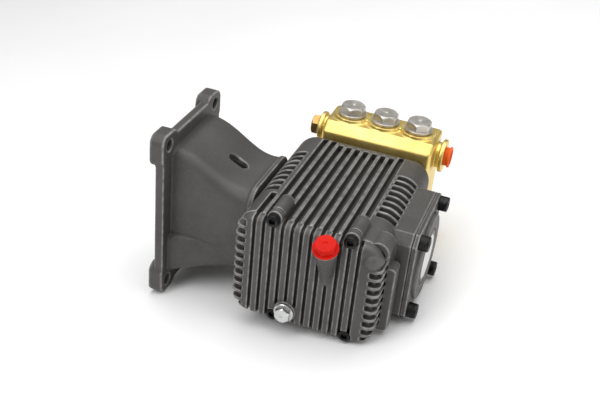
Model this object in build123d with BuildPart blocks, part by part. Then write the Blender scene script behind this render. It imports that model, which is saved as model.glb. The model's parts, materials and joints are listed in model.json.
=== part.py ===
"""Triplex plunger pump with a bell housing for a petrol engine.

The origin is the centre of the engine-side face of the bell housing, on the
crankshaft axis. +X runs along the crankshaft away from the engine, +Y runs from
the finned rear cover to the brass manifold, and +Z is up. Sizes are millimetres.
"""
from build123d import *
import os
from math import cos, sin, radians

os.makedirs("parts", exist_ok=True)

# ---- driving dimensions ---------------------------------------------------
# engine flange and bell housing
FACE_Y, FACE_Z = 115.0, 160.0          # overall size over the corner pads
HOLE_Y, HOLE_Z = 90.6, 138.0           # engine bolts, on a 165.1 mm circle
HOLE_D = 10.5
PAD_T = 13.2                           # pad thickness, and pump side of the plate
PLATE_X = 5.0                          # engine side of the plate between the pads
BELL_END = 88.5                        # where the housing meets the crankcase

# crankcase block
CASE_X0, CASE_X1 = 89.0, 214.0
CASE_MID = (CASE_X0 + CASE_X1) / 2
CASE_W = CASE_X1 - CASE_X0
CASE_TOP, CASE_BOT = 47.0, -49.0
SHOULDER_R, SOLE_R = 18.0, 10.0
SEAM_Y, BACK_Y = -72.0, 82.0           # rear cover joint, manifold joint
GASKET = 0.6
CASE_FRONT = SEAM_Y + GASKET
WALL = 8.0
TOWER_X = 227.0                        # outer face of the bearing tower
TOWER_Y, TOWER_Z = 90.0, 84.0
TOWER_CORNER, TOWER_SCREWS = 8.0, 68.0

# cooling fins
PITCH = 8.0
GROOVE_MID = 150.0
COVER_GROOVES, TOP_GROOVES = 12, 10
FIN_DEPTH = 4.6
TOP_FIN_DEPTH, CORNER_FIN_DEPTH = 7.0, 5.0
COVER_GROOVE_W, TOP_GROOVE_W = 2.6, 4.6
SIDE_PITCH, SIDE_GROOVE_W = 9.4, 6.7    # fins over the two shoulders
CORNER_GROOVES, CORNER_GROOVE_W = 11, 5.2

# cover
COVER_FRONT = -81.6
COVER_TOP_SCREWS = [(121.5, 48.5), (186.0, 48.5)]
COVER_LOW_SCREWS = [(127.5, -43.5), (191.0, -43.5)]
TOP_SEAT, LOW_SEAT = SEAM_Y - 6, SEAM_Y - 3.5
BOSS_R = 6.4
OIL_SEAT = (170.0, -93.5, 44.0)
OIL_TILT = 20.0                        # filler leans this far out from vertical
DRAIN_X, DRAIN_Z = 138.5, -35.5
DOME_X, DOME_Z, DOME_R = 204.0, 34.0, 8.5

# drive train
BORE_X = (126.0, 158.0, 190.0)         # three cylinder centre lines
PHASE = (90.0, 210.0, 330.0)           # crank angle of each throw at rest
THROW = 1.65
SHAFT_BORE, KEY_W, KEY_TOP = 25.4, 6.4, 15.6
SHAFT_X0, SHAFT_BORE_END = 26.0, 96.0
JOURNAL_D, JOURNAL_W = 44.0, 15.0
BEAR_DRIVE = dict(x=95.5, bore=35.0, od=72.0, width=17.0, ball=11.0, count=9)
BEAR_END = dict(x=210.5, bore=30.0, od=62.0, width=16.0, ball=9.5, count=9)
PIN_Y = 46.0                           # wrist pin distance from the crank axis
PIN_D, PIN_END_D, PIN_L = 10.0, 6.4, 24.0
EYE_D, EYE_W = 15.0, 9.0
HEAD_D, HEAD_BORE = 26.0, 21.0         # crosshead
PLUNGER_D = 15.0
RUN = 0.04                             # running clearance on the radius

# manifold
MAN_X0, MAN_X1 = 105.0, 210.0
MAN_BACK = 128.0
MAN_TOP, MAN_BOT = 57.0, -40.0
CAP_SEAT_Z = 60.0
VALVE_Y = 108.0
OUT_Z, IN_Z = 40.0, -18.0              # discharge and inlet galleries
OUT_END, IN_END = 218.5, 221.0         # faces of their open ports
STUD_X, STUD_Z = (111.6, 142.0, 174.0, 204.4), (27.0, -33.5)
LIFT = 2.0                             # travel of each valve poppet
OUT_SEAT, IN_SEAT = 16.0, -10.0        # top of each valve seat


# ---- helpers --------------------------------------------------------------
def facing_back(y):
    """Sketch plane across Y: local x is X, local y is Z, normal towards -Y."""
    return Plane(origin=(0, y, 0), x_dir=(1, 0, 0), z_dir=(0, -1, 0))


def across_x(x):
    """Sketch plane across X: local x is Y, local y is Z, normal towards +X."""
    return Plane(origin=(x, 0, 0), x_dir=(0, 1, 0), z_dir=(1, 0, 0))


def level(z):
    return Plane.XY.offset(z)


def save(builder, name):
    builder.part.label = name
    export_step(builder.part, f"parts/{name}.step")
    print(f"{name:28s} {builder.part.volume/1000:9.2f} cm3")


def case_outline(inset=0.0):
    """Cross-section of the crankcase block, in X and Z, shrunk by inset."""
    half, top, bot = CASE_W / 2 - inset, CASE_TOP - inset, CASE_BOT + inset
    r_top, r_bot = SHOULDER_R - inset, max(SOLE_R - inset, 3.0)
    with BuildSketch(facing_back(0), mode=Mode.PRIVATE) as outline:
        with Locations((CASE_MID, (top + bot) / 2)):
            Rectangle(2 * half, top - bot)
        upper = outline.vertices().group_by(Axis.Z)[-1]
        lower = outline.vertices().group_by(Axis.Z)[0]
        fillet(upper, r_top)
        fillet(lower, r_bot)
    return outline.sketch


def socket_screw(at, axis, size, head_d, head_h, shank):
    """Socket-head screw: seat of the head at `at`, shank running along axis."""
    plane = Plane(origin=at, z_dir=axis)
    with BuildPart() as screw:
        with BuildSketch(plane):
            Circle(size / 2)
        extrude(amount=shank)
        with BuildSketch(plane):
            Circle(head_d / 2)
        extrude(amount=-head_h)
        chamfer(screw.faces().sort_by(Axis(at, axis))[0].edges(), 0.6)
        with BuildSketch(plane.offset(-head_h)):
            RegularPolygon(size * 0.42, 6, major_radius=False)
        extrude(amount=head_h * 0.55, mode=Mode.SUBTRACT)
    return screw.part


def hex_plug(at, axis, across, head_h, flange_d, flange_h, shank_d, shank):
    """Hexagon plug with a round flange seated at `at`, thread along axis."""
    plane = Plane(origin=at, z_dir=axis)
    with BuildPart() as plug:
        with BuildSketch(plane):
            Circle(shank_d / 2)
        extrude(amount=shank)
        with BuildSketch(plane):
            Circle(flange_d / 2)
        extrude(amount=-flange_h)
        with BuildSketch(plane.offset(-flange_h)):
            RegularPolygon(across / 2, 6, major_radius=False)
        extrude(amount=-head_h)
        with BuildSketch(plane.offset(-flange_h - head_h - 0.01)):
            Circle(across)
            Circle(across * 0.53, mode=Mode.SUBTRACT)
        extrude(amount=head_h * 0.3, taper=-60, mode=Mode.SUBTRACT)
    return plug.part


# ---- engine flange with bell housing --------------------------------------
pad_size = (28.0, 30.0)
pad_at = (FACE_Y / 2 - pad_size[0] / 2, FACE_Z / 2 - pad_size[1] / 2)

# sections along X: low and high Z, corner radius
HORN = ((PAD_T - 3, -62, 62, 10), (28, -57, 60, 10), (62, -45, 42, 12), (84, -39, 40, 14))
HOLLOW = ((-1, -57, 57), (28, -51, 54), (62, -39, 37), (82, -37, 37))
with BuildPart() as bell:
    # broad root of the horn, low down between the feet of the plate
    with BuildSketch(across_x(PAD_T - 3)):
        with Locations((0, -41)):
            RectangleRounded(95, 42, 6)
    with BuildSketch(across_x(70)):
        with Locations((0, -26)):
            RectangleRounded(83, 20, 6)
    loft()
    # hollow horn: high at the plate, falling to the level of the crankcase
    for x, low, high, corner in HORN:
        with BuildSketch(across_x(x)):
            with Locations((0, (low + high) / 2)):
                RectangleRounded(84, high - low, corner)
    loft()
    # low collar at the crankcase joint
    with BuildSketch(across_x(84)):
        RectangleRounded(87, 83, 16)
    extrude(amount=BELL_END - 84)
    # engine plate and its four corner pads
    with BuildSketch(across_x(PLATE_X)):
        RectangleRounded(FACE_Y - 3, FACE_Z - 9, 9)
    extrude(amount=PAD_T - PLATE_X)
    with BuildSketch(across_x(0)):
        for sy in (-1, 1):
            for sz in (-1, 1):
                with Locations((sy * pad_at[0], sz * pad_at[1])):
                    RectangleRounded(pad_size[0], pad_size[1], 9)
    extrude(amount=PAD_T)
    # hollow for the engine shaft
    for x, low, high in HOLLOW:
        with BuildSketch(across_x(x)):
            with Locations((0, (low + high) / 2)):
                RectangleRounded(74, high - low, 8)
    loft(mode=Mode.SUBTRACT)
    # shaft opening, engine bolt holes, crankcase screw holes, access slot
    with BuildSketch(across_x(BELL_END)):
        Circle(31)
    extrude(amount=-12, mode=Mode.SUBTRACT)
    with BuildSketch(across_x(-1)):
        with GridLocations(HOLE_Y, HOLE_Z, 2, 2):
            Circle(HOLE_D / 2)
    extrude(amount=PAD_T + 2, mode=Mode.SUBTRACT)
    with BuildSketch(across_x(BELL_END)):
        with GridLocations(58, 58, 2, 2):
            Circle(4.15)
    extrude(amount=-12, mode=Mode.SUBTRACT)
    with BuildSketch(level(30)):
        with Locations((57.5, -1)):
            SlotOverall(17.5, 9.5)
    extrude(amount=40, mode=Mode.SUBTRACT)
save(bell, "bell_housing")

with BuildPart() as bell_screws:
    for y in (-29, 29):
        for z in (-29, 29):
            add(socket_screw((81, y, z), (1, 0, 0), 8, 13, 8, 15))
save(bell_screws, "bell_housing_screws")

# ---- crankcase --------------------------------------------------------------
RIM = case_outline() - case_outline(TOP_FIN_DEPTH)     # the skin that the fins are cut in
CORNER_RIM = case_outline() - case_outline(CORNER_FIN_DEPTH)
corner_z = [38.5 - PITCH * i for i in range(CORNER_GROOVES)]
top_x = [GROOVE_MID + (i - (TOP_GROOVES - 1) / 2) * PITCH for i in range(TOP_GROOVES)]
side_y = [41 - SIDE_PITCH * (i + 0.5) for i in range(8)]

with BuildPart() as case:
    with BuildSketch(facing_back(CASE_FRONT)) as section:
        add(case_outline())
    extrude(amount=CASE_FRONT - BACK_Y)
    # corners towards the manifold are rounded in plan
    rear_uprights = case.edges().filter_by(Axis.Z).group_by(Axis.Y)[-1]
    fillet(rear_uprights, 14)
    # tower for the outer main bearing
    with BuildSketch(across_x(CASE_X1 - 6)):
        Rectangle(TOWER_Y, TOWER_Z)
        chamfer(vertices(), TOWER_CORNER)
    extrude(amount=TOWER_X - CASE_X1 + 6)
    # long bosses for the rear cover screws, lying on top between the fins
    with BuildSketch(facing_back(CASE_FRONT)):
        with Locations(COVER_TOP_SCREWS):
            Circle(BOSS_R)
    extrude(amount=-23)
    # shoulder boss and upright rib beside the rear cover
    with BuildSketch(facing_back(CASE_FRONT)):
        with Locations((206.5, 38.5)):
            Circle(9.0)
    extrude(amount=-20)
    with BuildSketch(facing_back(CASE_FRONT + 8)):
        with Locations((CASE_X1 + 1, -10)):
            RectangleRounded(13, 62, 4)
    extrude(amount=-14)
    # crank chamber with the crosshead guides standing in it
    with BuildSketch(facing_back(CASE_FRONT)):
        with Locations((CASE_MID, -1)):
            RectangleRounded(CASE_W - 2 * WALL - 2, 74, 12)
    extrude(amount=CASE_FRONT - 66, mode=Mode.SUBTRACT)
    with BuildSketch(facing_back(34)):
        for x in BORE_X:
            with Locations((x, 0)):
                Circle(HEAD_D / 2 + 2)
    extrude(amount=-34)
    # bosses inside the two end walls for the main bearings
    with BuildSketch(across_x(CASE_X0 + 4)):
        Circle(BEAR_DRIVE["od"] / 2 - 0.01 + 1)
    extrude(amount=BEAR_DRIVE["x"] + BEAR_DRIVE["width"] - CASE_X0 - 4)
    # bores: crossheads, plunger seals, bearings, shaft
    with BuildSketch(facing_back(30)):
        for x in BORE_X:
            with Locations((x, 0)):
                Circle(HEAD_D / 2)
    extrude(amount=-44, mode=Mode.SUBTRACT)
    with BuildSketch(facing_back(70)):
        for x in BORE_X:
            with Locations((x, 0)):
                Circle(12)
    extrude(amount=-20, mode=Mode.SUBTRACT)
    with BuildSketch(across_x(BEAR_DRIVE["x"])):
        Circle(BEAR_DRIVE["od"] / 2)
    extrude(amount=30, mode=Mode.SUBTRACT)
    with BuildSketch(across_x(CASE_X0 - 1)):
        Circle(27)
    extrude(amount=20, mode=Mode.SUBTRACT)
    with BuildSketch(across_x(BEAR_END["x"] - 12)):
        Circle(BEAR_END["od"] / 2)
    extrude(amount=40, mode=Mode.SUBTRACT)
    # long grooves between the top fins
    with BuildSketch(level(CASE_TOP - TOP_FIN_DEPTH)):
        for i, x in enumerate(top_x):
            end = 76 if i in (0, 1, TOP_GROOVES - 1) else 67
            behind_boss = min(abs(x - screw[0]) for screw in COVER_TOP_SCREWS) < 6
            start = CASE_FRONT + (26 if behind_boss else -1)
            with Locations((x, (start + end) / 2)):
                Rectangle(TOP_GROOVE_W, end - start)
    extrude(amount=20, mode=Mode.SUBTRACT)
    # a short groove beside the left-hand shoulder
    with BuildSketch(level(CASE_TOP - TOP_FIN_DEPTH)):
        with Locations((top_x[0] - PITCH, CASE_FRONT + 16)):
            Rectangle(TOP_GROOVE_W, 34)
    extrude(amount=20, mode=Mode.SUBTRACT)
    # fins that run over both shoulders
    for y in side_y:
        with BuildSketch(facing_back(y - SIDE_GROOVE_W / 2)):
            add(RIM)
            with Locations((CASE_MID, 46)):
                Rectangle(200, 18, mode=Mode.INTERSECT)
            with Locations((GROOVE_MID - 1, 20)):
                Rectangle(85, 80, mode=Mode.SUBTRACT)
        extrude(amount=-SIDE_GROOVE_W, mode=Mode.SUBTRACT)
    # short fins on both sides, in line with those of the rear cover
    with BuildSketch(facing_back(CASE_FRONT)):
        for z in corner_z:
            with Locations((CASE_MID, z)):
                Rectangle(CASE_W + 4, CORNER_GROOVE_W)
        add(CORNER_RIM, mode=Mode.INTERSECT)
        with Locations((CASE_MID, 0)):
            Rectangle(CASE_W - 2 * SHOULDER_R + 10, 120, mode=Mode.SUBTRACT)
    extrude(amount=-11, mode=Mode.SUBTRACT)
    # threaded holes
    with BuildSketch(facing_back(CASE_FRONT)):
        with Locations(COVER_TOP_SCREWS + COVER_LOW_SCREWS):
            Circle(3.05)
    extrude(amount=-20, mode=Mode.SUBTRACT)
    with BuildSketch(across_x(TOWER_X)):
        with GridLocations(TOWER_SCREWS, TOWER_SCREWS, 2, 2):
            Circle(4.05)
    extrude(amount=-13, mode=Mode.SUBTRACT)
    with BuildSketch(across_x(CASE_X0)):
        with GridLocations(58, 58, 2, 2):
            Circle(4.05)
    extrude(amount=9, mode=Mode.SUBTRACT)
    with BuildSketch(facing_back(BACK_Y)):
        for x in STUD_X:
            for z in STUD_Z:
                with Locations((x, z)):
                    Circle(4.05)
    extrude(amount=13, mode=Mode.SUBTRACT)
save(case, "crankcase")

# ---- rear cover -------------------------------------------------------------
def cover_block(inset):
    """The rear cover's plain block, shrunk by inset all round."""
    with BuildPart() as block:
        with BuildSketch(facing_back(SEAM_Y)):
            add(case_outline(inset))
        extrude(amount=SEAM_Y - COVER_FRONT - min(inset, FIN_DEPTH))
        front = block.faces().sort_by(Axis.Y)[0]
        fillet(front.edges(), max(6.5 - inset, 1.0))
    return block.part


cover_x = [GROOVE_MID + (i - (COVER_GROOVES - 1) / 2) * PITCH
           for i in range(COVER_GROOVES)]
with BuildPart() as front_grooves:
    with BuildSketch(facing_back(SEAM_Y)):
        for x in cover_x:
            with Locations((x, -1)):
                Rectangle(COVER_GROOVE_W, 120)
    extrude(amount=20)
    add(cover_block(FIN_DEPTH), mode=Mode.SUBTRACT)
with BuildPart() as corner_grooves:
    with BuildSketch(facing_back(SEAM_Y)):
        for z in corner_z:
            for side in (-1, 1):
                with Locations((CASE_MID + side * (CASE_W / 2 - 2), z)):
                    Rectangle(16, CORNER_GROOVE_W)
    extrude(amount=20)
    add(cover_block(CORNER_FIN_DEPTH), mode=Mode.SUBTRACT)

filler_axis = Vector(0, -sin(radians(OIL_TILT)), cos(radians(OIL_TILT)))
filler_seat = Plane(origin=OIL_SEAT, x_dir=(1, 0, 0), z_dir=filler_axis)
with BuildPart() as cover:
    add(cover_block(0))
    add([front_grooves.part, corner_grooves.part], mode=Mode.SUBTRACT)
    # bosses around the screws and the drain
    with BuildSketch(facing_back(SEAM_Y)):
        with Locations(COVER_TOP_SCREWS):
            Circle(BOSS_R)
    extrude(amount=SEAM_Y - TOP_SEAT)
    with BuildSketch(facing_back(SEAM_Y)):
        with Locations(COVER_LOW_SCREWS):
            RectangleRounded(13, 11, 4)
    extrude(amount=SEAM_Y - LOW_SEAT)
    with BuildSketch(facing_back(SEAM_Y)):
        with Locations((DRAIN_X, DRAIN_Z)):
            Circle(9.5)
    extrude(amount=11)
    # domed boss on the upper corner
    with BuildSketch(facing_back(SEAM_Y)):
        with Locations((DOME_X, DOME_Z)):
            Circle(DOME_R)
    extrude(amount=4)
    with Locations((DOME_X, SEAM_Y - 4, DOME_Z)):
        Sphere(DOME_R)
    with Locations((DOME_X, SEAM_Y + DOME_R, DOME_Z)):
        Box(2 * DOME_R, 2 * DOME_R, 2 * DOME_R, mode=Mode.SUBTRACT)
    # tapered filler neck standing off the front
    with BuildSketch(filler_seat):
        Circle(10.2)
    with BuildSketch(filler_seat.offset(-46)):
        Circle(2.8)
    loft()
    # filler bore, drain thread, screw holes and room for the screw heads
    with BuildSketch(filler_seat):
        Circle(6.05)
    extrude(amount=-14, mode=Mode.SUBTRACT)
    with BuildSketch(facing_back(SEAM_Y - 20)):
        with Locations((DRAIN_X, DRAIN_Z)):
            Circle(5.05)
    extrude(amount=-30, mode=Mode.SUBTRACT)
    for seat, places in ((TOP_SEAT, COVER_TOP_SCREWS), (LOW_SEAT, COVER_LOW_SCREWS)):
        with BuildSketch(facing_back(SEAM_Y)):
            with Locations(places):
                Circle(3.1)
        extrude(amount=30, mode=Mode.SUBTRACT)
        with BuildSketch(facing_back(seat)):
            with Locations(places):
                Circle(5.6)
        extrude(amount=30, mode=Mode.SUBTRACT)
save(cover, "rear_cover")

with BuildPart() as gasket:
    with BuildSketch(facing_back(CASE_FRONT)):
        add(case_outline(CORNER_FIN_DEPTH))
        with Locations((CASE_MID, -1)):
            RectangleRounded(CASE_W - 2 * WALL - 2, 74, 12, mode=Mode.SUBTRACT)
        with Locations(COVER_TOP_SCREWS):
            Circle(BOSS_R)
            with Locations((0, -8)):
                Rectangle(2 * BOSS_R - 2, 12)
        with Locations(COVER_LOW_SCREWS):
            RectangleRounded(13, 11, 4)
        with Locations(COVER_TOP_SCREWS + COVER_LOW_SCREWS):
            Circle(3.2, mode=Mode.SUBTRACT)
    extrude(amount=GASKET)
save(gasket, "rear_cover_gasket")

with BuildPart() as cover_screws:
    for seat, places in ((TOP_SEAT, COVER_TOP_SCREWS), (LOW_SEAT, COVER_LOW_SCREWS)):
        for x, z in places:
            add(socket_screw((x, seat, z), (0, 1, 0), 6, 10.4, 6, 20))
save(cover_screws, "rear_cover_screws")

with BuildPart() as oil_cap:
    add(hex_plug(OIL_SEAT, -filler_axis, 16.5, 5.5, 21, 2.4, 11.9, 10))
save(oil_cap, "oil_fill_cap")

drain_at = (DRAIN_X, SEAM_Y - 11, DRAIN_Z)
with BuildPart() as drain:
    add(hex_plug(drain_at, (0, 1, 0), 12.5, 4.5, 17, 2.0, 9.9, 10))
save(drain, "drain_plug")

# ---- bearing cover ------------------------------------------------------------
def tower_plate(x, thickness, screw_hole):
    with BuildPart() as plate:
        with BuildSketch(across_x(x)):
            Rectangle(TOWER_Y, TOWER_Z)
            chamfer(vertices(), TOWER_CORNER)
            with GridLocations(TOWER_SCREWS, TOWER_SCREWS, 2, 2):
                Circle(screw_hole, mode=Mode.SUBTRACT)
        extrude(amount=thickness)
    return plate.part


BEARING_COVER_X = TOWER_X + 0.5
COVER_PLATE, COVER_RAISE = 4.0, 3.5      # flat corners, and the round middle above them
with BuildPart() as cover_shim:
    add(tower_plate(TOWER_X, 0.5, 4.2))
    with BuildSketch(across_x(TOWER_X)):
        Circle(33)
    extrude(amount=1, mode=Mode.SUBTRACT)
save(cover_shim, "bearing_cover_shim")

with BuildPart() as bearing_cover:
    add(tower_plate(BEARING_COVER_X, COVER_PLATE, 4.2))
    with BuildSketch(across_x(BEARING_COVER_X + COVER_PLATE)):
        Circle(38)
    extrude(amount=COVER_RAISE)
    chamfer(bearing_cover.faces().sort_by(Axis.X)[-1].edges(), 1.6)
    with BuildSketch(across_x(BEARING_COVER_X + COVER_PLATE + COVER_RAISE)):
        Circle(26)
        Circle(23, mode=Mode.SUBTRACT)
    extrude(amount=-1.2, mode=Mode.SUBTRACT)
    with BuildSketch(across_x(BEARING_COVER_X + COVER_PLATE + COVER_RAISE)):
        Circle(20)
    extrude(amount=-2.5, mode=Mode.SUBTRACT)
save(bearing_cover, "bearing_cover")

with BuildPart() as disc:
    with BuildSketch(across_x(BEARING_COVER_X + COVER_PLATE + COVER_RAISE - 2.5)):
        Circle(19.9)
    extrude(amount=2.2)
    chamfer(disc.edges().group_by(Axis.X)[-1], 0.6)
save(disc, "bearing_cover_disc")

with BuildPart() as bearing_screws:
    for y in (-TOWER_SCREWS / 2, TOWER_SCREWS / 2):
        for z in (-TOWER_SCREWS / 2, TOWER_SCREWS / 2):
            at = (BEARING_COVER_X + COVER_PLATE, y, z)
            add(socket_screw(at, (-1, 0, 0), 8, 13, 8, 16))
save(bearing_screws, "bearing_cover_screws")

# ---- crankshaft and its bearings ------------------------------------------------
def throw_at(i, reach=THROW):
    """Y and Z of throw i's centre at rest."""
    return reach * cos(radians(PHASE[i])), reach * sin(radians(PHASE[i]))


def disc_x(x0, x1, radius, centre=(0, 0)):
    with BuildPart() as turned:
        with BuildSketch(across_x(x0)):
            with Locations(centre):
                Circle(radius)
        extrude(amount=x1 - x0)
    return turned.part


drive_end = BEAR_DRIVE["x"] + BEAR_DRIVE["width"]
with BuildPart() as crank:
    add(disc_x(SHAFT_X0, CASE_X0 - 2, 19.0))
    add(disc_x(CASE_X0 - 2, drive_end, BEAR_DRIVE["bore"] / 2))
    add(disc_x(drive_end, BEAR_END["x"], 18.5))
    add(disc_x(BEAR_END["x"], TOWER_X - 1, BEAR_END["bore"] / 2))
    for i, x in enumerate(BORE_X):
        add(disc_x(x - JOURNAL_W / 2, x + JOURNAL_W / 2, JOURNAL_D / 2, throw_at(i)))
    chamfer(crank.edges().group_by(Axis.X)[0], 1)
    add(disc_x(SHAFT_X0 - 1, SHAFT_BORE_END, SHAFT_BORE / 2), mode=Mode.SUBTRACT)
    with BuildSketch(across_x(SHAFT_X0 - 1)):
        with Locations((0, KEY_TOP / 2)):
            Rectangle(KEY_W, KEY_TOP)
    extrude(amount=62, mode=Mode.SUBTRACT)
save(crank, "crankshaft")


def bearing(spec):
    """Outer race, inner race, and the balls with their cage, at x to x + width."""
    inner_r, outer_r = spec["bore"] / 2, spec["od"] / 2
    pitch_r, ball_r = (inner_r + outer_r) / 2, spec["ball"] / 2
    mid = spec["x"] + spec["width"] / 2
    lip = ball_r * 0.68
    with BuildPart() as track:
        with Locations(across_x(mid)):
            Torus(pitch_r, ball_r + 0.05)
    races = []
    for low, high in ((pitch_r + lip, outer_r - 0.02), (inner_r + 0.02, pitch_r - lip)):
        with BuildPart() as race:
            with BuildSketch(across_x(spec["x"])):
                Circle(high)
                Circle(low, mode=Mode.SUBTRACT)
            extrude(amount=spec["width"])
            add(track.part, mode=Mode.SUBTRACT)
        races.append(race)
    with BuildPart() as balls:
        with Locations(across_x(mid)):
            with PolarLocations(pitch_r, spec["count"]):
                Sphere(ball_r)
    with BuildPart() as pockets:
        with Locations(across_x(mid)):
            with PolarLocations(pitch_r, spec["count"]):
                Cylinder(ball_r + 0.12, 2 * ball_r + 0.24)
    with BuildPart() as cage:
        with BuildSketch(across_x(mid - ball_r * 1.25)):
            Circle(pitch_r + lip * 0.45)
            Circle(pitch_r - lip * 0.45, mode=Mode.SUBTRACT)
        extrude(amount=ball_r * 2.5)
        add(pockets.part, mode=Mode.SUBTRACT)
        add(balls.part)
    return races[0], races[1], cage


for name, spec in (("drive_bearing", BEAR_DRIVE), ("end_bearing", BEAR_END)):
    outer_race, inner_race, ball_cage = bearing(spec)
    save(outer_race, f"{name}_outer_race")
    save(inner_race, f"{name}_inner_race")
    save(ball_cage, f"{name}_balls")

with BuildPart() as shaft_seal:
    add(disc_x(CASE_X0 + 0.5, CASE_X0 + 6, 26.98))
    add(disc_x(CASE_X0, CASE_X0 + 8, BEAR_DRIVE["bore"] / 2 + RUN), mode=Mode.SUBTRACT)
save(shaft_seal, "crankshaft_oil_seal")

# ---- con rods, wrist pins, crossheads and plungers -------------------------------
ROD_W, BIG_R, LUG_Z, LUG_Y = 14.0, 28.5, 29.0, 9.0
CUP_BACK, CUP_FRONT, HEAD_FRONT = -12.0, 10.0, 16.0
SLEEVE_END, SCREW_END = 46.5, 51.5


def split_rod(i, x):
    """Con rod and its cap with two bolts, split across the journal."""
    y0, z0 = throw_at(i)
    with BuildPart() as whole:
        add(disc_x(x - ROD_W / 2, x + ROD_W / 2, BIG_R, (y0, z0)))
        with BuildSketch(across_x(x - ROD_W / 2 + 1)):
            with Locations((y0, z0)):
                RectangleRounded(2 * LUG_Y, 2 * LUG_Z + 8, 3)
        extrude(amount=ROD_W - 2)
        with BuildSketch(across_x(x - 4)):
            with Locations((y0 + 30, z0)):
                Trapezoid(12, 22, 86, rotation=-90)
        extrude(amount=8)
        add(disc_x(x - EYE_W / 2, x + EYE_W / 2, EYE_D / 2, (y0 + PIN_Y, z0)))
        add(disc_x(x - 10, x + 10, JOURNAL_D / 2 + RUN, (y0, z0)), mode=Mode.SUBTRACT)
        add(disc_x(x - 10, x + 10, PIN_D / 2 + RUN, (y0 + PIN_Y, z0)),
            mode=Mode.SUBTRACT)
        with BuildSketch(facing_back(y0 - 20)):
            for side in (-1, 1):
                with Locations((x, z0 + side * LUG_Z)):
                    Circle(2.6)
        extrude(amount=-40, mode=Mode.SUBTRACT)
    with BuildPart() as rod:
        add(whole.part)
        with Locations((x, y0 - 50, z0)):
            Box(60, 100, 100, mode=Mode.SUBTRACT)
    with BuildPart() as cap:
        add(whole.part)
        with Locations((x, y0 + 50, z0)):
            Box(60, 100, 100, mode=Mode.SUBTRACT)
        for side in (-1, 1):
            seat = (x, y0 - LUG_Y, z0 + side * LUG_Z)
            add(socket_screw(seat, (0, 1, 0), 5, 8, 5, 17))
    return rod, cap


for i, x in enumerate(BORE_X):
    rod, cap = split_rod(i, x)
    save(rod, f"con_rod_{i + 1}")
    save(cap, f"con_rod_cap_{i + 1}")

    eye_y, eye_z = throw_at(i)
    eye = (eye_y + PIN_Y, eye_z)
    head_y = PIN_Y + 2 * eye_y
    with BuildPart() as pin:
        add(disc_x(x - EYE_W / 2 - 0.5, x + EYE_W / 2 + 0.5, PIN_D / 2, eye))
        add(disc_x(x - PIN_L / 2, x + PIN_L / 2, PIN_END_D / 2, (head_y, 0)))
    save(pin, f"wrist_pin_{i + 1}")

    with BuildPart() as head:
        with BuildSketch(facing_back(head_y + CUP_BACK)):
            with Locations((x, 0)):
                Circle(HEAD_D / 2 - 0.05)
        extrude(amount=CUP_BACK - HEAD_FRONT)
        with BuildSketch(facing_back(head_y + CUP_BACK)):
            with Locations((x, 0)):
                Circle(HEAD_BORE / 2)
        extrude(amount=CUP_BACK - CUP_FRONT, mode=Mode.SUBTRACT)
        with BuildSketch(facing_back(head_y)):
            with Locations((x, 0)):
                Circle(4.05)
        extrude(amount=-30, mode=Mode.SUBTRACT)
        add(disc_x(x - 20, x + 20, PIN_END_D / 2 + RUN, (head_y, 0)), mode=Mode.SUBTRACT)
    save(head, f"crosshead_{i + 1}")

    with BuildPart() as plunger:
        with BuildSketch(facing_back(head_y + HEAD_FRONT)):
            with Locations((x, 0)):
                Circle(PLUNGER_D / 2)
                Circle(4.05, mode=Mode.SUBTRACT)
        extrude(amount=HEAD_FRONT - SLEEVE_END)
    save(plunger, f"plunger_{i + 1}")

    with BuildPart() as plunger_screw:
        with BuildSketch(facing_back(head_y + CUP_FRONT)):
            with Locations((x, 0)):
                Circle(4.0)
        extrude(amount=CUP_FRONT - SLEEVE_END - 1)
        with BuildSketch(facing_back(head_y + SLEEVE_END)):
            with Locations((x, 0)):
                Circle(7.0)
        extrude(amount=SLEEVE_END - SCREW_END)
    save(plunger_screw, f"plunger_screw_{i + 1}")

# ---- seals and packings ------------------------------------------------------------
def rings(y0, y1, outer_r, inner_r):
    """One ring round each plunger, from y0 to y1."""
    with BuildPart() as group:
        with BuildSketch(facing_back(y0)):
            for x in BORE_X:
                with Locations((x, 0)):
                    Circle(outer_r)
                    Circle(inner_r, mode=Mode.SUBTRACT)
        extrude(amount=y0 - y1)
    return group


plunger_r = PLUNGER_D / 2
save(rings(74.5, 81.5, 11.98, plunger_r + RUN), "plunger_oil_seals")
save(rings(83.0, 88.0, 11.98, plunger_r + 0.15), "packing_retainers")
with BuildPart() as packings:
    for y in (88.2, 92.8):
        add(rings(y, y + 4.4, 11.98, plunger_r + RUN).part)
save(packings, "plunger_packings")

# ---- brass manifold -----------------------------------------------------------------
MAN_MID = (MAN_X0 + MAN_X1) / 2


def drill(radius, plane, depth):
    """A round cutter that goes depth into the work from the plane."""
    with BuildPart() as cutter:
        with BuildSketch(plane):
            Circle(radius)
        extrude(amount=-depth)
    return cutter.part


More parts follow.
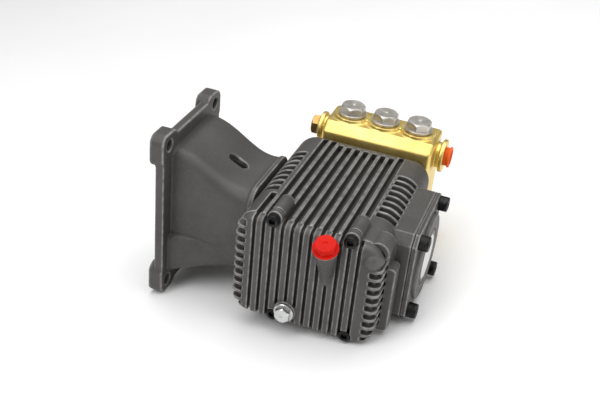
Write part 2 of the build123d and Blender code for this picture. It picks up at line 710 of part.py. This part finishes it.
with BuildPart() as manifold:
    with BuildSketch(Plane(origin=(MAN_MID, BACK_Y, 0), x_dir=(1, 0, 0), z_dir=(0, -1, 0))):
        with Locations((0, (MAN_TOP + MAN_BOT) / 2)):
            Rectangle(MAN_X1 - MAN_X0, MAN_TOP - MAN_BOT)
    extrude(amount=BACK_Y - MAN_BACK)
    fillet(manifold.edges().filter_by(Axis.Z), 4)
    # the top slopes up from the crankcase to the valve caps
    with BuildSketch(across_x(MAN_X0 - 1)):
        with BuildLine():
            Polyline((BACK_Y - 1, MAN_TOP - 9), (BACK_Y - 1, MAN_TOP + 1),
                     (BACK_Y + 10, MAN_TOP + 1), close=True)
        make_face()
    extrude(amount=MAN_X1 - MAN_X0 + 2, mode=Mode.SUBTRACT)
    fillet(manifold.edges().filter_by(Axis.X), 3.5)
    # raised seats for the discharge valve caps
    with BuildSketch(level(MAN_TOP - 12)):
        for x in BORE_X:
            with Locations((x, VALVE_Y)):
                Circle(17.2)
    extrude(amount=CAP_SEAT_Z - MAN_TOP + 12, taper=4)
    # port bosses on both ends of both galleries
    for z, right in ((OUT_Z, OUT_END), (IN_Z, IN_END)):
        add(disc_x(MAN_X1 - 6, right - 3, 12.0, (VALVE_Y, z)))
        add(disc_x(right - 4, right, 15.5, (VALVE_Y, z)))
        add(disc_x(99, MAN_X0 + 6, 12.0, (VALVE_Y, z)))
        add(disc_x(97, 101, 14.5, (VALVE_Y, z)))
    # packing glands, plunger chambers and valve bores
    cutters = []
    for x in BORE_X:
        front = Plane(origin=(x, BACK_Y, 0), z_dir=(0, -1, 0))
        top = Plane(origin=(x, VALVE_Y, CAP_SEAT_Z), z_dir=(0, 0, 1))
        bottom = Plane(origin=(x, VALVE_Y, MAN_BOT), z_dir=(0, 0, -1))
        cutters += [drill(12.0, front, 16), drill(8.5, front, 38)]
        cutters.append(drill(9.0, top, CAP_SEAT_Z - OUT_SEAT + 4))
        cutters.append(drill(9.0, bottom, IN_SEAT - MAN_BOT))
        cutters.append(drill(6.5, bottom, OUT_SEAT - 4 - MAN_BOT))
    # discharge and inlet galleries, with their port threads
    for z, radius, right, thread in ((OUT_Z, 6.0, OUT_END, 7.05), (IN_Z, 7.0, IN_END, 9.3)):
        port = Plane(origin=(right, VALVE_Y, z), z_dir=(1, 0, 0))
        left = Plane(origin=(97, VALVE_Y, z), z_dir=(-1, 0, 0))
        cutters += [drill(radius, port, right - 90), drill(thread, port, 13)]
        cutters.append(drill(7.05, left, 10))
    for x in STUD_X:
        for z in STUD_Z:
            back = Plane(origin=(x, MAN_BACK, z), z_dir=(0, 1, 0))
            cutters.append(drill(4.1, back, 60))
    add(cutters, mode=Mode.SUBTRACT)
save(manifold, "manifold")

with BuildPart() as manifold_screws:
    for x in STUD_X:
        for z in STUD_Z:
            add(socket_screw((x, MAN_BACK, z), (0, -1, 0), 8, 13, 8, 57))
save(manifold_screws, "manifold_screws")

with BuildPart() as top_caps:
    for x in BORE_X:
        add(hex_plug((x, VALVE_Y, CAP_SEAT_Z), (0, 0, -1), 21, 7, 25.8, 2.5, 17.9, 11))
        with Locations((x, VALVE_Y, 40.5)):
            Cylinder(3.5, 19)
save(top_caps, "discharge_valve_caps")

with BuildPart() as bottom_caps:
    for x in BORE_X:
        add(hex_plug((x, VALVE_Y, MAN_BOT), (0, 0, 1), 19, 4.5, 23, 1.5, 17.9, 10))
        with Locations((x, VALVE_Y, -24)):
            Cylinder(3.0, 13)
save(bottom_caps, "inlet_valve_caps")

with BuildPart() as port_plugs:
    for z in (OUT_Z, IN_Z):
        add(hex_plug((97, VALVE_Y, z), (1, 0, 0), 17.5, 6.5, 21, 1.6, 14, 9))
save(port_plugs, "gallery_plugs")

with BuildPart() as port_cap:
    # a push-in cup, open at its outer end
    add(disc_x(208, OUT_END, 6.95, (VALVE_Y, OUT_Z)))
    add(disc_x(OUT_END, 222, 8.6, (VALVE_Y, OUT_Z)))
    add(disc_x(222, 224, 9.8, (VALVE_Y, OUT_Z)))
    add(disc_x(210, 219, 5.4, (VALVE_Y, OUT_Z)), mode=Mode.SUBTRACT)
    add(disc_x(219, 225, 7.2, (VALVE_Y, OUT_Z)), mode=Mode.SUBTRACT)
save(port_cap, "discharge_port_cap")


# ---- check valves: seats and cages stay put, poppets lift against their springs -------
def ring_z(z0, z1, outer_r, inner_r, x):
    with BuildPart() as ring:
        with BuildSketch(level(z0)):
            with Locations((x, VALVE_Y)):
                Circle(outer_r)
                if inner_r:
                    Circle(inner_r, mode=Mode.SUBTRACT)
        extrude(amount=z1 - z0)
    return ring.part


def cartridge(x, seat_top, cage_top, cage_r):
    """A seat ring, and above it a cage with three windows and a perforated top."""
    with BuildPart() as unit:
        add(ring_z(seat_top - 4, seat_top, 8.95 if seat_top > 0 else 8.9, 4.0, x))
        add(ring_z(seat_top, cage_top, cage_r, cage_r - 0.8, x))
        with BuildSketch(level(seat_top + 4)):
            with Locations((x, VALVE_Y)):
                with PolarLocations(cage_r, 3):
                    Rectangle(4, 5)
        extrude(amount=cage_top - seat_top - 6, mode=Mode.SUBTRACT)
        add(ring_z(cage_top, cage_top + 1.5, cage_r, 2.6, x))
    return unit.part


VALVES = (("discharge", OUT_SEAT, 29.0, 8.9), ("inlet", IN_SEAT, 0.0, 6.4))
with BuildPart() as cartridges:
    for kind, seat_top, cage_top, cage_r in VALVES:
        for x in BORE_X:
            add(cartridge(x, seat_top, cage_top, cage_r))
save(cartridges, "valve_cartridges")

for kind, seat_top, cage_top, cage_r in VALVES:
    for i, x in enumerate(BORE_X):
        with BuildPart() as poppet:
            add(ring_z(seat_top + 0.05, seat_top + 1.6, 5.2, 0, x))
            add(ring_z(seat_top + 1.6, seat_top + 5, 2.0, 0, x))
        save(poppet, f"{kind}_poppet_{i + 1}")
        with BuildPart() as spring:
            add(ring_z(seat_top + 1.65, cage_top - 0.05, 3.4, 2.6, x))
        save(spring, f"{kind}_valve_spring_{i + 1}")
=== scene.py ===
"""Looks of the plunger pump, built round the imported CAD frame. Sizes are metres in the row frame."""
import json
import math

import bmesh
import bpy
import numpy as np
from mathutils import Matrix, Vector, noise


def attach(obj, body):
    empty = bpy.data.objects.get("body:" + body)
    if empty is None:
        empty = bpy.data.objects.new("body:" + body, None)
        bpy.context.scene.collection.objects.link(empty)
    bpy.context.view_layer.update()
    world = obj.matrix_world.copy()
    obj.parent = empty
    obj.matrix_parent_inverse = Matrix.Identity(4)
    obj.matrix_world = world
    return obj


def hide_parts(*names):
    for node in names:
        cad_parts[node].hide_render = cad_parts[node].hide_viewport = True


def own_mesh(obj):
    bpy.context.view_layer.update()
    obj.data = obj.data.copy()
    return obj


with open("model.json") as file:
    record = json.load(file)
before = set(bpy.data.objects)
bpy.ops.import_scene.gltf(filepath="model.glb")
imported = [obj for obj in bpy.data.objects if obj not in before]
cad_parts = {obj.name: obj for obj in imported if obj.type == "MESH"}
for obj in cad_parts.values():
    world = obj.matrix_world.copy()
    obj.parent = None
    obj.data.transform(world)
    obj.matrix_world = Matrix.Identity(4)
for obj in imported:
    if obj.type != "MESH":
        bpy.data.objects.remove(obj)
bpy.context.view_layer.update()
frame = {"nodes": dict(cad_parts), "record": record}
NODES = frame["nodes"]
ROOT = "pump_body"


# ---- camera, floor and light ----------------------------------------------------
def look_camera():
    """A 57 mm lens in front of the pump, above it and a little to its right."""
    data = bpy.data.cameras.new("camera")
    data.sensor_width = 36.0
    data.lens = 57.3
    camera = bpy.data.objects.new("camera", data)
    right = Vector((0.9343, 0.3453, 0.0884))
    up = Vector((-0.2527, 0.4668, 0.8475))
    back = right.cross(up)
    turn = Matrix((right, up, back)).transposed().to_4x4()
    camera.matrix_world = Matrix.Translation((0.3255, -0.6763, 0.4560)) @ turn
    bpy.context.collection.objects.link(camera)
    bpy.context.scene.camera = camera


REST_TILT = math.radians(9.19)         # the pump lies on its flange's feet and its crankcase
PAD_EDGE = Vector((0.0132, 0, -0.080))


def lay_floor():
    """A pale floor through the flange's lower edge and the crankcase's lower corner."""
    slope = Vector((math.cos(REST_TILT), 0, math.sin(REST_TILT)))
    normal = Vector((-math.sin(REST_TILT), 0, math.cos(REST_TILT)))
    across = Vector((0, 1, 0))
    base = PAD_EDGE - normal * 0.0002
    mesh = bpy.data.meshes.new("floor")
    reach = 3.0
    corners = [base + slope * sx * reach + across * sy * reach
               for sx, sy in ((-1, -1), (1, -1), (1, 1), (-1, 1))]
    mesh.from_pydata([tuple(c) for c in corners], [], [(0, 1, 2, 3)])
    floor = bpy.data.objects.new("floor", mesh)
    bpy.context.collection.objects.link(floor)
    paper = new_material("studio_paper")
    tint = noise_colour(paper, (0.93, 0.93, 0.93), (0.96, 0.96, 0.96), 3.0)
    paper.link(tint, "Base Color")
    paper.set(Roughness=0.9)
    floor.data.materials.append(paper.material)


def area_light(name, at, target, size, power):
    data = bpy.data.lights.new(name, "AREA")
    data.shape = "RECTANGLE"
    data.size, data.size_y = size
    data.energy = power
    light = bpy.data.objects.new(name, data)
    light.location = at
    aim = Vector(target) - Vector(at)
    light.rotation_euler = aim.to_track_quat("-Z", "Y").to_euler()
    bpy.context.collection.objects.link(light)


def light_studio():
    world = bpy.data.worlds.new("studio")
    bpy.context.scene.world = world
    world.use_nodes = True
    sky = world.node_tree.nodes["Background"]
    sky.inputs["Color"].default_value = (1, 1, 1, 1)
    sky.inputs["Strength"].default_value = 0.32
    middle = (0.12, 0, 0)
    area_light("overhead", (0.1, 0.15, 1.8), middle, (2.4, 2.4), 40)
    area_light("key", (-0.5, -0.9, 0.9), middle, (0.6, 0.6), 5)
    area_light("fill", (1.1, -0.3, 0.4), middle, (0.5, 0.8), 2)


# ---- materials --------------------------------------------------------------------
class new_material:
    """A Principled material whose nodes are added by name."""

    def __init__(self, name):
        self.material = bpy.data.materials.new(name)
        self.material.use_nodes = True
        self.tree = self.material.node_tree
        self.shader = self.tree.nodes["Principled BSDF"]

    def node(self, kind, **values):
        made = self.tree.nodes.new(kind)
        for key, value in values.items():
            if hasattr(made, key):
                setattr(made, key, value)
            else:
                made.inputs[key.replace("_", " ")].default_value = value
        return made

    def join(self, output, target):
        self.tree.links.new(output, target)

    def link(self, output, socket):
        self.join(output, self.shader.inputs[socket])

    def set(self, **values):
        for key, value in values.items():
            self.shader.inputs[key.replace("_", " ")].default_value = value


def coordinates(mat, stretch=(1, 1, 1)):
    place = mat.node("ShaderNodeTexCoord")
    scale = mat.node("ShaderNodeMapping", Scale=stretch)
    mat.join(place.outputs["Object"], scale.inputs["Vector"])
    return scale.outputs["Vector"]


def grain(mat, scale, detail=4.0, roughness=0.55, stretch=(1, 1, 1)):
    """Noise in metres: scale is features per metre."""
    made = mat.node("ShaderNodeTexNoise", Scale=scale, Detail=detail, Roughness=roughness)
    mat.join(coordinates(mat, stretch), made.inputs["Vector"])
    return made.outputs["Fac"]


def remap(mat, value, low, high, to_low=0.0, to_high=1.0):
    made = mat.node("ShaderNodeMapRange")
    mat.join(value, made.inputs["Value"])
    for key, number in (("From Min", low), ("From Max", high), ("To Min", to_low), ("To Max", to_high)):
        made.inputs[key].default_value = number
    return made.outputs["Result"]


def mix_colour(mat, factor, first, second):
    made = mat.node("ShaderNodeMix", data_type="RGBA")
    for socket, value in ((6, first), (7, second)):
        if isinstance(value, tuple):
            made.inputs[socket].default_value = (*value, 1)
        else:
            mat.join(value, made.inputs[socket])
    mat.join(factor, made.inputs[0])
    return made.outputs[2]


def noise_colour(mat, first, second, scale):
    return mix_colour(mat, remap(mat, grain(mat, scale), 0.35, 0.65), first, second)


def edge_mask(mat, low, high):
    """Pointiness mapped from low..high to 0..1: rising picks out edges, falling picks out hollows."""
    shape = mat.node("ShaderNodeNewGeometry")
    return remap(mat, shape.outputs["Pointiness"], low, high)


def bump(mat, height, strength, distance, normal=None):
    made = mat.node("ShaderNodeBump", Strength=strength, Distance=distance)
    mat.join(height, made.inputs["Height"])
    if normal:
        mat.join(normal, made.inputs["Normal"])
    return made.outputs["Normal"]


def cast_metal(name, dark, light, worn, rough=0.5):
    """Bead-blasted casting under thin dark paint, rubbed lighter on its edges, with painted shade darkening its
    hollows.
    """
    mat = new_material(name)
    tint = noise_colour(mat, dark, light, 22)
    speck = remap(mat, grain(mat, 900, 2), 0.62, 0.78, 0, 0.16)
    tint = mix_colour(mat, speck, tint, worn)
    rub = mat.node("ShaderNodeMath", operation="MULTIPLY")
    mat.join(edge_mask(mat, 0.508, 0.545), rub.inputs[0])
    mat.join(remap(mat, grain(mat, 160), 0.35, 0.6, 0.35, 1.0), rub.inputs[1])
    # Painted shade: hollows and grooves, where pointiness falls, darkened towards a third of the dark paint
    # colour.
    tint = mix_colour(mat, edge_mask(mat, 0.495, 0.44), tint, tuple(0.35 * c for c in dark))
    mat.link(mix_colour(mat, rub.outputs[0], tint, worn), "Base Color")
    mat.link(remap(mat, grain(mat, 300), 0.3, 0.7, rough - 0.06, rough + 0.1), "Roughness")
    fine = bump(mat, grain(mat, 1500, 3), 0.35, 0.00025)
    mat.link(bump(mat, grain(mat, 320, 2), 0.25, 0.0006, fine), "Normal")
    mat.set(Metallic=0.25, Specular_IOR_Level=0.45)
    return mat.material


def bare_metal(name, first, second, rough, scale=60, marks=0.15, mark_size=0.0001, stretch=(1, 1, 1)):
    """Plated or machined metal with faint stains and tool marks."""
    mat = new_material(name)
    mat.link(noise_colour(mat, first, second, scale), "Base Color")
    mat.link(remap(mat, grain(mat, 180), 0.3, 0.7, rough - 0.06, rough + 0.08), "Roughness")
    mat.link(bump(mat, grain(mat, 1100, 3, stretch=stretch), marks, mark_size), "Normal")
    mat.set(Metallic=1.0)
    return mat.material


def moulded(name, first, second, rough, sheen=0.5, through=0.0):
    """Moulded plastic or rubber with a faint texture."""
    mat = new_material(name)
    mat.link(noise_colour(mat, first, second, 70), "Base Color")
    mat.link(remap(mat, grain(mat, 260), 0.3, 0.7, rough - 0.05, rough + 0.08), "Roughness")
    mat.link(bump(mat, grain(mat, 700, 3), 0.12, 0.0002), "Normal")
    mat.set(Specular_IOR_Level=sheen, Subsurface_Weight=through, Subsurface_Scale=0.001)
    return mat.material


def make_materials():
    return {
        "cast_aluminium": cast_metal("cast_aluminium", (0.066, 0.062, 0.059), (0.088, 0.083, 0.079),
                                     (0.34, 0.33, 0.32)),
        "machined_aluminium": cast_metal("machined_aluminium", (0.082, 0.078, 0.074), (0.108, 0.103, 0.098),
                                         (0.30, 0.29, 0.28), 0.42),
        "brass": bare_metal("brass", (0.77, 0.57, 0.17), (0.85, 0.67, 0.25), 0.4, 45, 0.12),
        "dull_brass": bare_metal("dull_brass", (0.42, 0.26, 0.09), (0.55, 0.36, 0.13), 0.36, 60, 0.2),
        "nickel_plate": bare_metal("nickel_plate", (0.54, 0.51, 0.47), (0.68, 0.65, 0.61), 0.42, 90),
        "zinc_plate": bare_metal("zinc_plate", (0.56, 0.57, 0.56), (0.70, 0.71, 0.69), 0.3, 80),
        "black_oxide_steel": bare_metal("black_oxide_steel", (0.018, 0.018, 0.019), (0.035, 0.034, 0.034),
                                        0.38, 120),
        "steel": bare_metal("steel", (0.46, 0.46, 0.46), (0.55, 0.55, 0.55), 0.25, 70, stretch=(1, 6, 6)),
        "rod_aluminium": bare_metal("rod_aluminium", (0.55, 0.55, 0.55), (0.66, 0.66, 0.66), 0.38, 50, 0.3),
        "hardened_steel": bare_metal("hardened_steel", (0.38, 0.38, 0.40), (0.47, 0.47, 0.48), 0.2, 70),
        "stainless_steel": bare_metal("stainless_steel", (0.55, 0.55, 0.55), (0.64, 0.64, 0.63), 0.24, 70),
        "ceramic": moulded("ceramic", (0.80, 0.79, 0.74), (0.86, 0.85, 0.81), 0.2, 0.6),
        "seal_rubber": moulded("seal_rubber", (0.012, 0.012, 0.012), (0.022, 0.022, 0.022), 0.6, 0.4),
        "gasket_paper": moulded("gasket_paper", (0.028, 0.026, 0.024), (0.05, 0.047, 0.044), 0.8, 0.2),
        "red_plastic": moulded("red_plastic", (0.56, 0.007, 0.003), (0.66, 0.011, 0.004), 0.5, 0.12, 0.02),
        "orange_plastic": moulded("orange_plastic", (0.74, 0.10, 0.01), (0.84, 0.135, 0.016),
                                  0.45, 0.2, 0.03),
        "label_plate": moulded("label_plate", (0.66, 0.66, 0.65), (0.76, 0.76, 0.75), 0.5, 0.5),
        "valve_plastic": moulded("valve_plastic", (0.07, 0.07, 0.075), (0.1, 0.1, 0.105), 0.4, 0.5),
    }


# ---- meshes from the frame -----------------------------------------------------------
def link_object(name, mesh):
    made = bpy.data.objects.new(name, mesh)
    bpy.context.collection.objects.link(made)
    return made


def welded_copy(node, name):
    """A copy of a CAD node's mesh with its seams welded, as its own object."""
    mesh = NODES[node].data.copy()
    mesh.name = name
    work = bmesh.new()
    work.from_mesh(mesh)
    bmesh.ops.remove_doubles(work, verts=work.verts, dist=1e-6)
    work.to_mesh(mesh)
    work.free()
    mesh.materials.clear()
    return link_object(name, mesh)


def apply_modifiers(piece):
    depsgraph = bpy.context.evaluated_depsgraph_get()
    mesh = bpy.data.meshes.new_from_object(piece.evaluated_get(depsgraph))
    piece.modifiers.clear()
    piece.data = mesh


def finish_piece(piece, slot, body, *replaced):
    piece.data.materials.clear()
    piece.data.materials.append(MATERIALS[slot])
    for polygon in piece.data.polygons:
        polygon.use_smooth = True
    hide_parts(*replaced)
    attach(piece, body)


def as_cast(node, voxel, rounds, ripple):
    """The CAD node with cast edges: rounded all over, with a slightly uneven skin."""
    piece = welded_copy(node, f"{node}_casting")
    remesh = piece.modifiers.new("remesh", "REMESH")
    remesh.mode = "VOXEL"
    remesh.voxel_size = voxel
    smooth = piece.modifiers.new("smooth", "SMOOTH")
    smooth.factor = 0.5
    smooth.iterations = rounds
    apply_modifiers(piece)
    mesh = piece.data
    count = len(mesh.vertices)
    points = np.empty(count * 3)
    mesh.vertices.foreach_get("co", points)
    normals = np.empty(count * 3)
    mesh.vertex_normals.foreach_get("vector", normals)
    points, normals = points.reshape(-1, 3), normals.reshape(-1, 3)
    wave = np.array([noise.noise(Vector(p) * 90) for p in points])
    points -= normals * ((wave + 1) / 2 * ripple)[:, None]
    mesh.vertices.foreach_set("co", points.ravel())
    mesh.update()
    return piece


def bevelled(node, name, width):
    """The CAD node with its sharp edges broken by a small round."""
    piece = welded_copy(node, name)
    planar = piece.modifiers.new("planar", "DECIMATE")
    planar.decimate_type = "DISSOLVE"
    planar.angle_limit = math.radians(0.5)
    bevel = piece.modifiers.new("bevel", "BEVEL")
    bevel.width = width
    bevel.segments = 2
    bevel.limit_method = "ANGLE"
    bevel.angle_limit = math.radians(28)
    bevel.use_clamp_overlap = True
    weighted = piece.modifiers.new("weighted", "WEIGHTED_NORMAL")
    weighted.keep_sharp = False
    apply_modifiers(piece)
    return piece


def casting_set():
    for node, (voxel, rounds, slot) in CASTINGS.items():
        finish_piece(as_cast(node, voxel, rounds, 0.00012), slot, ROOT, node)


# ---- fasteners --------------------------------------------------------------------------
class Turned:
    """Collects rings of points round an axis into one closed mesh."""

    def __init__(self, at, axis):
        self.work = bmesh.new()
        self.turn = Vector(axis).to_track_quat("Z", "Y").to_matrix().to_4x4()
        self.turn.translation = Vector(at)

    def shell(self, rings):
        """rings are lists of (x, y, z), all of one length, joined in order and capped at both ends."""
        rows = [[self.work.verts.new(self.turn @ Vector(p)) for p in ring] for ring in rings]
        size = len(rows[0])
        for low, high in zip(rows, rows[1:]):
            for i in range(size):
                j = (i + 1) % size
                self.work.faces.new((low[i], low[j], high[j], high[i]))
        self.work.faces.new(list(reversed(rows[0])))
        self.work.faces.new(rows[-1])


def circle_ring(radius, z, count, waviness=0.0, teeth=0):
    turns = [2 * math.pi * i / count for i in range(count)]
    return [((radius - waviness * (0.5 - 0.5 * math.cos(teeth * t))) * math.cos(t),
             (radius - waviness * (0.5 - 0.5 * math.cos(teeth * t))) * math.sin(t), z) for t in turns]


def hexagon_ring(apothem, z, count, limit=1e9):
    """Points on a hexagon, drawn in to a circle of radius limit where it reaches further."""
    ring = []
    for i in range(count):
        t = 2 * math.pi * i / count
        folded = (t + math.pi / 6) % (math.pi / 3) - math.pi / 6
        reach = min(apothem / math.cos(folded), limit)
        ring.append((reach * math.cos(t), reach * math.sin(t), z))
    return ring


def socket_head(at, axis, head_r, height, shank_r, shank, key_r):
    """Cap screw with a knurled head and a hexagon socket: z = 0 is the head's seat, +z its top."""
    screw = Turned(at, axis)
    count = 144
    rows = [circle_ring(shank_r * 0.9, -shank, count), circle_ring(shank_r, -shank + 0.0006, count),
            circle_ring(shank_r, 0, count), circle_ring(head_r - 0.0003, 0, count),
            circle_ring(head_r, 0.0004, count)]
    rows += [circle_ring(head_r, z, count, 0.00022, 36) for z in (0.0009, height * 0.62)]
    rows += [circle_ring(head_r, height * 0.7, count), circle_ring(head_r, height - 0.0008, count),
             circle_ring(head_r - 0.0003, height - 0.0003, count), circle_ring(head_r - 0.0008, height, count),
             circle_ring(key_r * 1.24, height, count), hexagon_ring(key_r, height - 0.0004, count),
             hexagon_ring(key_r, height * 0.42, count), circle_ring(key_r * 0.2, height * 0.3, count)]
    screw.shell(rows)
    return screw.work


def joined(name, works):
    total = bmesh.new()
    for work in works:
        mesh = bpy.data.meshes.new("part")
        work.to_mesh(mesh)
        work.free()
        total.from_mesh(mesh)
        bpy.data.meshes.remove(mesh)
    bmesh.ops.recalc_face_normals(total, faces=total.faces)
    mesh = bpy.data.meshes.new(name)
    total.to_mesh(mesh)
    total.free()
    return link_object(name, mesh)


def smooth_by_angle(piece, degrees=32):
    """Smooth faces, with the sharp edges kept sharp."""
    mesh = piece.data
    work = bmesh.new()
    work.from_mesh(mesh)
    for edge in work.edges:
        edge.smooth = len(edge.link_faces) == 2 and edge.calc_face_angle() < math.radians(degrees)
    work.to_mesh(mesh)
    work.free()


def screw_parts(node):
    """Low and high corner of each separate solid of a CAD node."""
    work = bmesh.new()
    work.from_mesh(NODES[node].data)
    bmesh.ops.remove_doubles(work, verts=work.verts, dist=1e-6)
    seen, boxes = set(), []
    for start in work.verts:
        if start in seen:
            continue
        stack, island = [start], []
        seen.add(start)
        while stack:
            vert = stack.pop()
            island.append(vert.co.copy())
            for edge in vert.link_edges:
                other = edge.other_vert(vert)
                if other not in seen:
                    seen.add(other)
                    stack.append(other)
        low = Vector([min(p[k] for p in island) for k in range(3)])
        high = Vector([max(p[k] for p in island) for k in range(3)])
        boxes.append((low, high))
    work.free()
    return boxes


# node: direction from seat to head top, head radius, head height, thread radius, key radius
SOCKET_SCREWS = {
    "bearing_cover_screws": ((1, 0, 0), 0.0065, 0.008, 0.004, 0.003),
    "bell_housing_screws": ((-1, 0, 0), 0.0065, 0.008, 0.004, 0.003),
    "rear_cover_screws": ((0, -1, 0), 0.0052, 0.006, 0.003, 0.0025),
    "manifold_screws": ((0, 1, 0), 0.0065, 0.008, 0.004, 0.003),
}


def make_screws():
    for node, (axis, head_r, height, shank_r, key_r) in SOCKET_SCREWS.items():
        works = []
        for low, high in screw_parts(node):
            middle = (low + high) / 2
            way = Vector(axis)
            length = abs((high - low).dot(way))
            top = middle + way * length / 2
            works.append(socket_head(top - way * height, axis, head_r, height, shank_r, length - height, key_r))
        piece = joined(f"{node}_knurled", works)
        finish_piece(piece, "black_oxide_steel", ROOT, node)
        smooth_by_angle(piece)


# ---- hexagon plugs and caps ----------------------------------------------------------------
def hexagon_head(at, axis, half_across, head, flange_r, flange, shank_r, shank, stem_r=0.0, depth=0.0):
    """Plug with a chamfered hexagon on a round flange: z = 0 is the flange's seat, +z its top.

    Below the thread, stem_r and depth give the pin that holds a valve cartridge down."""
    plug = Turned(at, axis)
    count = 144
    top = head + flange
    face_r = half_across * 0.96
    rows = []
    if stem_r:
        rows += [circle_ring(stem_r, -depth, count), circle_ring(stem_r, -shank, count)]
    rows += [circle_ring(shank_r - 0.0006, -shank, count), circle_ring(shank_r, -shank + 0.0006, count),
             circle_ring(shank_r, -0.0001, count), circle_ring(flange_r - 0.0011, 0, count),
             circle_ring(flange_r - 0.0011, 0.0004, count), circle_ring(flange_r - 0.0001, 0.0004, count),
             circle_ring(flange_r, 0.0006, count), circle_ring(flange_r, flange - 0.0004, count),
             circle_ring(flange_r - 0.0004, flange, count), hexagon_ring(half_across, flange + 0.0001, count)]
    for drop in (0.0020, 0.0014, 0.0008, 0.0004, 0.0):
        rows.append(hexagon_ring(half_across, top - drop, count, face_r + drop))
    rows += [circle_ring(half_across * 0.22, top - 0.00005, count),
             circle_ring(half_across * 0.19, top - 0.0006, count),
             circle_ring(half_across * 0.05, top - 0.0009, count)]
    plug.shell(rows)
    return plug.work


# node: way out, half across flats, head, flange radius, flange, thread radius, thread, stem radius, slot
HEXAGONS = {
    "discharge_valve_caps": ((0, 0, 1), 0.0105, 0.007, 0.0129, 0.0025, 0.00895, 0.011, 0.0035, "nickel_plate"),
    "inlet_valve_caps": ((0, 0, -1), 0.0095, 0.0045, 0.0115, 0.0015, 0.00895, 0.010, 0.003, "nickel_plate"),
    "gallery_plugs": ((-1, 0, 0), 0.00875, 0.0065, 0.0105, 0.0016, 0.007, 0.009, 0.0, "dull_brass"),
    "drain_plug": ((0, -1, 0), 0.00625, 0.0045, 0.0085, 0.002, 0.00495, 0.010, 0.0, "zinc_plate"),
}


def make_hexagons():
    for node, (way, half, head, flange_r, flange, shank_r, shank, stem_r, slot) in HEXAGONS.items():
        works = []
        for low, high in screw_parts(node):
            out = Vector(way)
            length = abs((high - low).dot(out))
            seat = (low + high) / 2 + out * (length / 2 - head - flange)
            works.append(hexagon_head(seat, way, half, head, flange_r, flange, shank_r, shank,
                                      stem_r, length - head - flange))
        piece = joined(f"{node}_hexagon", works)
        finish_piece(piece, slot, ROOT, node)
        smooth_by_angle(piece, 25)
    tilt = math.radians(20)
    neck = (0, -math.sin(tilt), math.cos(tilt))
    cap = joined("oil_fill_cap_moulding", [hexagon_head((0.170, -0.0935, 0.044), neck, 0.00825, 0.0055,
                                                        0.0105, 0.0024, 0.00595, 0.010)])
    finish_piece(cap, "red_plastic", "oil_fill_cap", "oil_fill_cap")
    smooth_by_angle(cap, 25)


# ---- valve springs --------------------------------------------------------------------------
def coil(low, high, mean_r, wire_r, turns):
    """A helical spring between two heights, its end turns closed."""
    spring = bmesh.new()
    around, steps = 8, 24              # points round the wire, and rings in each turn
    closed = 0.8                       # turns lying flat at each end
    stacked = 4 * closed * wire_r      # height that the two flat ends take up
    height = high.z - low.z - 2 * wire_r
    middle = (low + high) / 2
    rings = []
    for i in range(int(turns * steps) + 1):
        t = i / (turns * steps)
        spread = min(max((t * turns - closed) / (turns - 2 * closed), 0), 1)
        end = min(t * turns, (1 - t) * turns, closed) * wire_r * 2
        rise = spread * (height - stacked) + (end if t < 0.5 else stacked - end)
        angle = 2 * math.pi * turns * t
        out = Vector((math.cos(angle), math.sin(angle), 0))
        centre = Vector((middle.x, middle.y, low.z + wire_r + rise)) + out * mean_r
        rings.append([spring.verts.new(centre + wire_r * (out * math.cos(a) + Vector((0, 0, math.sin(a)))))
                      for a in (2 * math.pi * k / around for k in range(around))])
    for first, second in zip(rings, rings[1:]):
        for k in range(around):
            spring.faces.new((first[k], first[(k + 1) % around], second[(k + 1) % around], second[k]))
    spring.faces.new(list(reversed(rings[0])))
    spring.faces.new(rings[-1])
    return spring


def make_springs():
    for kind in ("discharge", "inlet"):
        for number in (1, 2, 3):
            node = f"{kind}_valve_spring_{number}"
            low, high = screw_parts(node)[0]
            piece = joined(f"{node}_coil", [coil(low, high, 0.003, 0.00035, 5.5)])
            finish_piece(piece, "stainless_steel", ROOT, node)
            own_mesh(piece)


# ---- cap of the port and disc of the bearing cover ----------------------------------------
BROKEN_EDGES = {
    "discharge_port_cap": (0.0004, "orange_plastic", "discharge_port_cap"),
    "bearing_cover_disc": (0.0003, "label_plate", ROOT),
}


def make_broken_edges():
    for node, (width, slot, body) in BROKEN_EDGES.items():
        piece = bevelled(node, f"{node}_finished", width)
        finish_piece(piece, slot, body, node)
        smooth_by_angle(piece, 25)


CASTINGS = {
    "bell_housing": (0.0009, 3, "cast_aluminium"),
    "crankcase": (0.0008, 2, "cast_aluminium"),
    "rear_cover": (0.0007, 2, "cast_aluminium"),
    "bearing_cover": (0.0007, 2, "cast_aluminium"),
    "manifold": (0.0008, 2, "brass"),
}
MATERIALS = make_materials()
light_studio()
lay_floor()
look_camera()
casting_set()
make_screws()
make_hexagons()
make_springs()
make_broken_edges()

SLOT_OF = {part["node"]: part["material_slot"] for part in frame["record"]["subparts"]}
REMADE = {*CASTINGS, *SOCKET_SCREWS, *HEXAGONS, *BROKEN_EDGES, "oil_fill_cap"}
for node, piece in NODES.items():
    if node not in REMADE and "valve_spring" not in node:
        for index in range(len(piece.material_slots)):
            piece.material_slots[index].material = MATERIALS[SLOT_OF[node]]

bpy.context.scene.view_settings.view_transform = "Standard"
